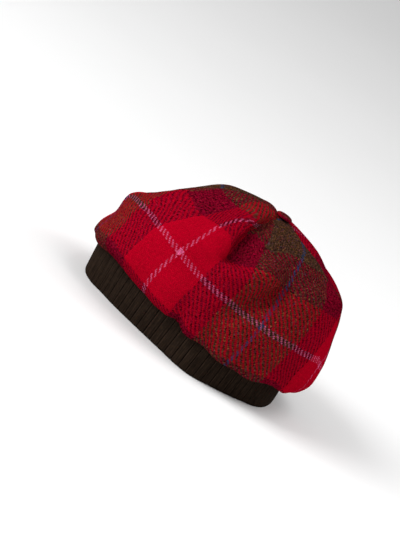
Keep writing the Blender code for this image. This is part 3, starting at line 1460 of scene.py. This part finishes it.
    def build(self, finish: bpy.types.Material) -> bpy.types.Object:
        """Args:
            finish: the tartan.

        Returns:
            The finished piece.
        """
        deselect_all()
        bpy.ops.mesh.primitive_grid_add(
            x_subdivisions=self.columns, y_subdivisions=self.rows, size=START_SIZE, calc_uvs=True
        )
        panel = newest(f"{self.node}_cloth")
        skin, level, bearing = self.surface()
        move_points(panel, skin)
        flat = self.layout(skin, level, bearing)
        corner = corner_vertices(panel)
        row, column = corner // (self.columns + 1), corner % (self.columns + 1)
        faces = column.reshape(-1, 4)
        side = np.repeat((faces.min(axis=1) >= self.dart_column).astype(int), 4)
        write_map(panel, "cloth", flat[side, row, column])
        if self.hand > 0:
            panel.data.flip_normals()
        apply_solidify(panel, self.cloth)
        dress(panel, finish)
        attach(panel, "root")
        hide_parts(self.node)
        spread = np.ptp(flat.reshape(-1, 2), axis=0)
        log.info("%s: cut %.0f by %.0f mm", panel.name, *spread)
        return panel


# The band and the button


@dataclass
class RibBand:
    """The doubled knit band: ribs of fine wales, folded at the bottom edge."""

    oval: HeadOval = field(default_factory=HeadOval)
    ribs: int = 77
    wales: int = 5  # wales of a rib, its groove included
    wale_columns: int = 4
    profile_rows: int = 56
    groove: float = 0.95
    groove_share: float = 0.10  # of a rib's pitch
    middle_groove: float = 0.3  # how deep the line down each rib's middle is
    wale_relief: float = 0.22
    roundness: float = 0.25  # how much a rib's sides stand out beyond its middle
    slack: tuple[tuple[float, int, float], ...] = ((0.35, 5, 0.6), (0.25, 11, 0.0))  # height, waves, turn
    fold_radius: float = 1.9
    sway: float = 0.042  # how far behind their feet the ribs' tops stand at the sides, in radians
    foot_front: float = 1.3  # how far the front leans out towards the foot
    foot_flare: tuple[tuple[float, float], ...] = (  # Y, and how far the side leans out there
        (-105.0, 6.0), (-92.0, 4.0), (-80.0, -1.5), (-65.0, -2.5), (-45.0, -3.5), (-25.0, -2.5),
        (-8.0, 0.5), (8.0, 6.0), (22.0, 8.5), (32.0, 6.0), (46.0, 0.5), (64.0, -2.5),
        (78.0, -2.0), (92.0, 5.0),
    )
    flare_turn: float = 4.0  # how quickly the flare changes sides at the front and the back
    merged: float = 1e-6  # metres between points that are joined where the loop closes

    def lap(self) -> float:
        """The length of the cross section's outline, in millimetres."""
        return 2.0 * (self.oval.height - 2.0 * self.fold_radius + math.pi * self.fold_radius)

    def profile(self) -> tuple[np.ndarray, np.ndarray]:
        """The band's cross section: a flat loop with round ends.

        Returns:
            (rows, 2) of how far out of the oval and how high, and (rows, 2) of the outward
            directions.
        """
        radius = self.fold_radius
        straight, arc = self.oval.height - 2.0 * radius, math.pi * radius
        place = (np.arange(self.profile_rows + 1) % self.profile_rows) / self.profile_rows * self.lap()
        stretches = [place < straight, place < straight + arc, place < 2.0 * straight + arc]
        turn = np.select(
            stretches,
            [0.0 * place, (place - straight) / radius, math.pi + 0.0 * place],
            math.pi + (place - 2.0 * straight - arc) / radius,
        )
        rise = np.select(stretches, [place, straight + 0.0 * place, 2.0 * straight + arc - place], 0.0)
        outward = np.stack([np.cos(turn), np.sin(turn)], axis=-1)
        centre = np.stack([np.full_like(rise, -0.5 * self.oval.thickness), radius + rise], axis=-1)
        return centre + radius * outward, outward

    def rib_relief(self, rib_place: np.ndarray) -> np.ndarray:
        """How far the knit stands out.

        Args:
            rib_place: the place round the band, counted in ribs.

        Returns:
            Millimetres along the surface's normal, negative where it is drawn in.
        """
        inside = np.abs((rib_place + 0.5) % 1.0 - 0.5)
        half_share = 0.5 * self.groove_share
        groove = bell(inside, half_share)
        line = self.middle_groove * bell(0.5 - inside, half_share)
        wale = self.wale_relief * (0.5 - 0.5 * np.cos(2.0 * math.pi * self.wales * rib_place))
        crown = self.roundness * ((2.0 * inside) ** 2 - 1.0)
        return crown + wale * (1.0 - groove) - self.groove * groove - line

    def build(self, finish: bpy.types.Material) -> bpy.types.Object:
        """Args:
            finish: the knit.

        Returns:
            The finished piece.
        """
        around = self.ribs * self.wales * self.wale_columns
        deselect_all()
        bpy.ops.mesh.primitive_grid_add(
            x_subdivisions=around, y_subdivisions=self.profile_rows, size=START_SIZE
        )
        band = newest("rib_band_knit")
        profile, outward = self.profile()
        out, height = profile[:, None, 0], profile[:, None, 1]
        out_x, out_z = outward[:, None, 0], outward[:, None, 1]
        column = np.arange(around + 1) % around
        bearing = 2.0 * math.pi * column[None, :] / around
        high = height / self.oval.height
        leaned = bearing + self.sway * np.sin(bearing) * high
        relief = self.rib_relief(column[None, :] / (self.wales * self.wale_columns))
        slack = sum(tall * np.sin(waves * bearing + turn) for tall, waves, turn in self.slack)
        out = out + (relief + slack * (out_x > 0.5) * high) * out_x
        height = height + relief * out_z
        low = 1.0 - height / self.oval.height
        front, back, side = self.oval.reach(height, out)
        front = front - self.foot_front * low
        lean = -np.cos(leaned)
        egg = np.full_like(lean, self.oval.egg)
        x = side * np.sin(leaned) * (1.0 + egg * lean) / egg_width(egg)
        y = 0.5 * (back + front) + 0.5 * (back - front) * lean
        flare = np.interp(y, *np.array(self.foot_flare).T)
        x += flare * low * np.clip(self.flare_turn * np.sin(leaned), -1.0, 1.0)
        move_points(band, np.stack([x, y, height + np.zeros_like(x)], axis=-1))
        corner = corner_vertices(band)
        row, wale = corner // (around + 1), corner % (around + 1) / self.wale_columns
        write_map(band, "cloth", np.stack([wale, row * self.lap() / self.profile_rows], axis=-1))
        pick_out(band)
        bpy.ops.object.mode_set(mode="EDIT")
        bpy.ops.mesh.select_all(action="SELECT")
        bpy.ops.mesh.remove_doubles(threshold=self.merged)
        bpy.ops.mesh.normals_make_consistent(inside=False)
        bpy.ops.object.mode_set(mode="OBJECT")
        dress(band, finish)
        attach(band, "root")
        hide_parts("rib_band")
        log.info("%s: %d ribs", band.name, self.ribs)
        return band


@dataclass
class TopButton:
    """The button over the meeting of the seams, covered with the same cloth."""

    centre_y: float = 12.0
    radius: float = 8.0
    pressed: float = 2.0  # how much lower it sits than the part's solid
    segments: int = 64
    rings: int = 32
    squareness: float = 0.6  # 1 for a round side, and less for an upright one
    rim_share: float = 0.42  # the height of the widest place
    pleats: int = 14
    pleat_depth: float = 0.35
    pleat_drift: float = 0.8  # how far the pleats leave an even spacing, in radians
    pleat_rows: tuple[float, float] = (0.8, 2.2)  # radians from the top where they set in
    cut: tuple[float, float] = (35.0, 77.0)  # where on the tartan it was cut
    cut_share: float = 1.15  # how much more cloth it takes than its own size

    def build(self, finish: bpy.types.Material) -> bpy.types.Object:
        """Args:
            finish: the tartan.

        Returns:
            The finished piece.
        """
        low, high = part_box("top_button")
        seat, top = low.z / MM, high.z / MM - self.pressed
        deselect_all()
        bpy.ops.mesh.primitive_uv_sphere_add(segments=self.segments, ring_count=self.rings, radius=1.0)
        button = newest("top_button_cover")
        ball = np.zeros(len(button.data.vertices) * 3, dtype=np.float32)
        button.data.vertices.foreach_get("co", ball)
        ball = ball.reshape(-1, 3).astype(float)
        polar = np.arccos(np.clip(ball[:, 2], -1.0, 1.0))
        turn = np.arctan2(ball[:, 0], -ball[:, 1])
        rim = seat + self.rim_share * (top - seat)
        rise = np.cos(polar) * np.where(np.cos(polar) >= 0.0, top - rim, rim - seat)
        folded = 0.5 - 0.5 * np.cos(self.pleats * turn + self.pleat_drift * np.sin(2.0 * turn))
        pleat = self.pleat_depth * fade(polar, *self.pleat_rows) * folded
        wide = (self.radius - pleat) * np.sin(polar) ** self.squareness
        places = [wide * np.sin(turn), self.centre_y - wide * np.cos(turn), rim + rise]
        move_points(button, np.stack(places, axis=-1))
        corner = corner_vertices(button)
        laid = self.cut_share * self.radius * polar[corner]
        flat = np.stack([-laid * np.cos(turn[corner]), -laid * np.sin(turn[corner])], axis=-1)
        write_map(button, "cloth", flat + np.array(self.cut))
        dress(button, finish)
        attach(button, "root")
        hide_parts("top_button")
        log.info("%s: %.1f mm across", button.name, 2.0 * self.radius)
        return button


# The studio


class Lamp(NamedTuple):
    """A square soft light that faces the hat: its place and side in metres, and its watts."""

    name: str
    place: tuple[float, float, float]
    side: float
    power: float

    def hang(self, aim: tuple[float, float, float]) -> None:
        """Put the light in its place, turned to a point.

        Args:
            aim: the point, in metres.
        """
        lamp = bpy.data.lights.new(self.name, "AREA")
        lamp.shape = "SQUARE"
        lamp.size = self.side
        lamp.energy = self.power
        held = bpy.data.objects.new(self.name, lamp)
        bpy.context.scene.collection.objects.link(held)
        held.location = self.place
        held.rotation_euler = (Vector(aim) - Vector(self.place)).to_track_quat("-Z", "Y").to_euler()
        held.visible_camera = False


@dataclass
class Studio:
    """The floor, the lights and the camera."""

    aim: tuple[float, float, float] = (0.0, -22.1, 61.4)
    rise: float = 14.2  # degrees above the floor
    roll: float = 36.1  # degrees that the hat leans back in the picture
    distance: float = 4000.0
    lens: float = 307.0
    sensor: float = 36.0
    clip: tuple[float, float] = (0.1, 100.0)  # metres
    floor_radius: float = 14000.0
    floor_sides: int = 96
    sky: float = 0.40
    lamp_aim: tuple[float, float, float] = (0.0, 0.0, 0.07)  # metres
    lamps: tuple[Lamp, ...] = (
        Lamp("key_light", (0.72, -1.52, 1.18), 1.3, 38.0),
        Lamp("back_light", (-0.52, 1.56, 1.30), 1.2, 14.0),
        Lamp("top_light", (0.05, 0.45, 2.00), 1.2, 9.0),
    )

    def lay_floor(self) -> None:
        """A wide round floor, which isn't part of the hat."""
        deselect_all()
        bpy.ops.mesh.primitive_circle_add(
            vertices=self.floor_sides, radius=self.floor_radius * MM, fill_type="NGON"
        )
        floor = newest("studio_floor")
        floor.data.materials.append(PaleFloor().make())

    def light(self) -> None:
        """A pale sky, a large key light above the front and weak lights behind and above."""
        world = bpy.data.worlds.new("studio_sky")
        world.use_nodes = True
        sky = world.node_tree.nodes["Background"]
        sky.inputs["Color"].default_value = (1.0, 1.0, 1.0, 1.0)
        sky.inputs["Strength"].default_value = self.sky
        bpy.context.scene.world = world
        for lamp in self.lamps:
            lamp.hang(self.lamp_aim)
        bpy.context.scene.view_settings.view_transform = "Standard"

    def set_camera(self) -> None:
        """A long lens at the picture's angle, rolled so that the hat leans back."""
        rise, roll = math.radians(self.rise), math.radians(self.roll)
        toward = Vector((math.cos(rise), 0.0, math.sin(rise)))
        level = Vector((0.0, 1.0, 0.0))
        upright = Vector((-math.sin(rise), 0.0, math.cos(rise)))
        right = level * math.cos(roll) + upright * math.sin(roll)
        up = upright * math.cos(roll) - level * math.sin(roll)
        lens = bpy.data.cameras.new("picture_camera")
        lens.lens = self.lens
        lens.sensor_width = self.sensor
        lens.clip_start, lens.clip_end = self.clip
        camera = bpy.data.objects.new("picture_camera", lens)
        bpy.context.scene.collection.objects.link(camera)
        camera.rotation_mode = "QUATERNION"
        camera.rotation_quaternion = Matrix((right, up, toward)).transposed().to_quaternion()
        camera.location = (Vector(self.aim) + toward * self.distance) * MM
        bpy.context.scene.camera = camera


# The hat's own shapes and pattern

LEFT_DART = Fold((
    Station(0.6, 9.0, 0.3, 1.6, 3.0, 0.1, 0.0),
    Station(1.5, 4.4, 3.0, 2.4, 5.5, 1.2, 2.2),
    Station(2.0, 0.6, 5.8, 3.0, 9.5, 2.0, 4.0),
    Station(3.0, -7.4, 11.0, 3.8, 17.0, 3.0, 6.2),
    Station(3.5, -10.2, 12.8, 4.2, 22.0, 3.4, 6.4),
    Station(4.0, -11.2, 15.0, 5.0, 28.0, 3.4, 5.8),
    Station(5.0, -10.0, 15.3, 5.4, 25.0, 3.0, 5.4),
    Station(5.5, -8.6, 13.0, 5.2, 21.0, 2.2, 4.0),
    Station(6.0, -7.2, 5.0, 6.4, 19.0, 0.8, 1.0),
    Station(6.4, -6.5, 0.0, 7.5, 15.0, 0.0, 0.0),
), 3.0)
LEFT_BACK_VALLEY = Fold((
    Station(3.6, 48.0, 0.0, 8.0, 10.0, 0.0, 0.0),
    Station(4.25, 50.0, 4.0, 8.0, 10.0, 1.0, 0.0),
    Station(4.8, 50.5, 10.5, 8.5, 11.0, 1.8, 0.0),
    Station(5.5, 50.5, 13.5, 9.0, 12.0, 2.0, 0.0),
    Station(6.1, 47.0, 14.5, 10.0, 13.5, 2.0, 0.0),
    Station(6.5, 43.0, 14.0, 11.0, 14.5, 1.8, 0.0),
    Station(6.85, 38.5, 12.0, 12.0, 15.5, 1.5, 0.0),
    Station(7.2, 32.0, 9.0, 13.0, 15.5, 1.2, 0.0),
    Station(7.6, 24.0, 4.0, 13.0, 14.0, 0.6, 0.0),
    Station(8.1, 14.0, 0.0, 13.0, 13.0, 0.0, 0.0),
))
LEFT_HEM_TUCK = Fold((
    Station(7.4, -14.0, 0.0, 6.0, 6.0, 0.0, 0.0),
    Station(8.4, -12.5, 1.4, 5.0, 6.0, 0.4, 0.0),
    Station(9.2, -11.5, 3.2, 4.5, 6.0, 1.0, 0.0),
    Station(10.0, -11.0, 3.0, 4.5, 6.0, 0.8, 0.0),
    Station(10.8, -11.0, 0.0, 5.0, 6.0, 0.0, 0.0),
))
LEFT_SWELLS = (
    Swell(6.35, 3.0, 2.4, 0.45, 13.0),
    Swell(5.7, 72.0, 1.8, 1.5, 14.0),
    Swell(5.9, 86.0, 4.2, 1.5, 14.0),
    Swell(8.5, 76.0, -3.0, 0.8, 17.0),
    Swell(8.4, 32.0, -1.6, 0.8, 22.0),
    Swell(4.9, 101.0, 0.8, 0.7, 12.0),
    Swell(4.6, -45.0, 1.2, 1.3, 18.0),
)
RIGHT_DART = Fold((
    Station(0.6, 9.6, 0.3, 1.6, 3.0, 0.1, 0.0),
    Station(2.0, 4.5, 3.6, 3.4, 5.0, 1.2, 0.6),
    Station(3.0, -2.0, 6.4, 4.0, 7.0, 1.8, 1.2),
    Station(4.0, -8.4, 8.4, 4.4, 9.5, 2.0, 1.4),
    Station(5.0, -9.5, 8.6, 5.0, 12.5, 1.8, 1.2),
    Station(5.6, -8.8, 5.0, 5.6, 13.0, 1.0, 0.6),
    Station(6.4, -7.8, 0.0, 7.0, 12.0, 0.0, 0.0),
))
RIGHT_BACK_VALLEY = Fold((
    Station(2.6, 40.0, 0.0, 8.0, 8.0, 0.0, 0.0),
    Station(4.2, 50.0, 2.0, 8.0, 8.0, 0.5, 0.0),
    Station(6.0, 52.0, 0.0, 8.0, 8.0, 0.0, 0.0),
))
RIGHT_HEM_TUCK = Fold((
    Station(7.6, 20.0, 0.0, 7.0, 6.0, 0.0, 0.0),
    Station(9.2, 23.0, 2.6, 5.0, 6.0, 0.8, 0.0),
    Station(10.0, 24.0, 2.4, 5.0, 6.0, 0.6, 0.0),
    Station(10.8, 24.0, 0.0, 5.0, 6.0, 0.0, 0.0),
))
RIGHT_SWELLS = (
    Swell(6.2, 0.0, 1.6, 0.5, 14.0),
    Swell(5.0, -52.0, 1.2, 1.2, 18.0),
)

LEFT_LINES = (
    PatternLine(Way.WEFT, 0.0, (
        (-110, 33), (-97, 30.5), (-83, 26.5), (-68, 22), (-49, 16), (-30, 10), (-10, 6.5),
        (10, 5), (30, 3.2), (50, 2.5), (70, 3.2), (85, 4.8), (95, 6.5), (104, 9),
    )),
    PatternLine(Way.WARP, 0.0, (
        (-57, -28), (-57, -20), (-56, -10), (-54.5, -2), (-52, 7), (-49, 16), (-45, 27), (-41, 37),
        (-36.5, 50), (-31, 58), (-27, 64), (-23, 68), (-19, 71), (-15, 73), (-11, 72.5),
    )),
    PatternLine(Way.WARP, 96.0, (
        (36, -42), (39, -35), (41, -29), (44, -12), (44.5, 0), (44.5, 18), (45, 28), (44.5, 38),
        (43.5, 47), (42.5, 57), (41.5, 66), (41, 72), (40, 79),
    )),
    PatternLine(Way.WARP, -96.0, ((-114.5, 27), (-115, 18), (-116.5, 8), (-118.5, 0), (-120, -7))),
    PatternLine(Way.WARP, 192.0, ((107, 10), (107.5, 0), (107.5, -12), (106, -20))),
    PatternLine(Way.WARP, -31.0, (
        (-86, -14), (-84, 0), (-81, 14), (-79, 20), (-75, 27), (-70, 33), (-64, 39.5), (-58, 47),
        (-50, 54), (-45, 59), (-40, 65), (-35, 71), (-30, 77),
    )),
    PatternLine(Way.WARP, -59.0, (
        (-108, -10), (-105, 0), (-103, 10), (-101, 25), (-96, 40), (-90, 50), (-82, 60),
    )),
    PatternLine(Way.WARP, 31.0, (
        (-26, -22), (-25, -14), (-22, 0), (-20.5, 8), (-19.5, 15), (-18, 22), (-17, 28),
    )),
    PatternLine(Way.WARP, 59.0, (
        (3, -36), (4, -26), (5.5, -14), (8, -2), (10.5, 10), (12.5, 20), (13, 30), (11.5, 40),
        (10.5, 48), (9, 58), (8, 66), (6.5, 74), (4.5, 82),
    )),
    PatternLine(Way.WARP, 133.0, (
        (73, -31), (75, -22), (77, -12), (78.5, 0), (80, 12), (81, 24), (81, 34), (79.5, 48),
        (78, 54), (76, 60), (73.5, 64),
    )),
    PatternLine(Way.WARP, 161.0, (
        (91, -30), (93, -20), (94.5, -10), (96, 0), (98, 12), (99, 22), (99.5, 32),
    )),
    PatternLine(Way.WEFT, 37.5, (
        (-76, 64), (-70, 61), (-65, 58), (-60, 54), (-50, 52.5), (-40, 53.5), (-30, 53), (-23, 52),
        (0, 36), (6, 38), (12, 41), (20, 43), (28, 45), (40, 43), (50, 41), (60, 42), (70, 43.5),
        (78, 45), (88, 45), (96, 46),
    )),
    PatternLine(Way.WEFT, 71.4, (
        (-50, 81), (-42, 79), (-34, 77.5), (-27, 76.5), (-18, 77), (-10, 77), (-4, 68), (4, 64),
        (12, 60.5), (18, 61.5), (24, 66), (30, 70), (38, 71), (46, 71), (54, 72), (60, 73.5),
    )),
    PatternLine(Way.WEFT, 116.2, ((5, 89), (8, 91), (14, 92), (20, 91))),
    PatternLine(Way.WEFT, -37.5, (
        (-100, -9), (-90, -14), (-80, -17.5), (-70, -20.5), (-60, -23.5), (-50, -26), (-40, -28),
        (-30, -30), (0, -35.5), (20, -37), (50, -35), (70, -31), (85, -28),
    )),
)
RIGHT_LINES = (
    PatternLine(Way.WARP, 0.0, ((32, 91),)),
    PatternLine(Way.WARP, -31.0, ((49, 84.5),)),
    PatternLine(Way.WARP, -59.0, ((84, 67),)),
    PatternLine(Way.WARP, 100.0, ((-55, 83),)),
    PatternLine(Way.WEFT, 80.0, ((-60, 79.5), (-50, 85), (-40, 90))),
    PatternLine(Way.WEFT, 45.0, ((32, 91), (60, 80), (84, 67))),
)

LEFT_HEM_SHIFT = (
    (-120.0, 0.0), (-95.0, 0.5), (-84.0, 2.0), (-74.0, 3.0), (-64.0, 1.0), (-54.0, -1.0), (-40.0, 0.0),
    (-28.0, 2.0), (-11.0, 1.2), (0.0, -0.2), (25.0, -0.8), (50.0, -1.0), (62.0, 1.0), (75.0, 2.0),
    (90.0, 5.5), (96.0, 4.5), (102.0, 1.5), (108.0, 0.0), (120.0, 0.0),
)
RIGHT_HEM_SHIFT = ((-120.0, 0.0), (-60.0, 0.5), (0.0, -1.0), (24.0, 1.5), (60.0, -1.0), (120.0, 0.0))


def main() -> None:
    """Build the hat piece by piece, dress it and set it in the studio."""
    logging.basicConfig(level=logging.INFO, format="%(name)s: %(message)s")
    studio = Studio()
    studio.set_camera()
    tartan = TartanWool("tartan_wool").make()
    left = CrownPanel("crown_left_panel", 1, (LEFT_DART, LEFT_BACK_VALLEY, LEFT_HEM_TUCK),
                      LEFT_SWELLS, LEFT_LINES, LEFT_HEM_SHIFT, rim=1.8)
    right = CrownPanel("crown_right_panel", -1, (RIGHT_DART, RIGHT_BACK_VALLEY, RIGHT_HEM_TUCK),
                       RIGHT_SWELLS, RIGHT_LINES, RIGHT_HEM_SHIFT)
    for panel in (left, right):
        made = panel.build(tartan)
    RibBand().build(RibKnit("rib_knit").make())
    TopButton().build(tartan)
    studio.lay_floor()
    studio.light()


if __name__ == "__main__":
    main()
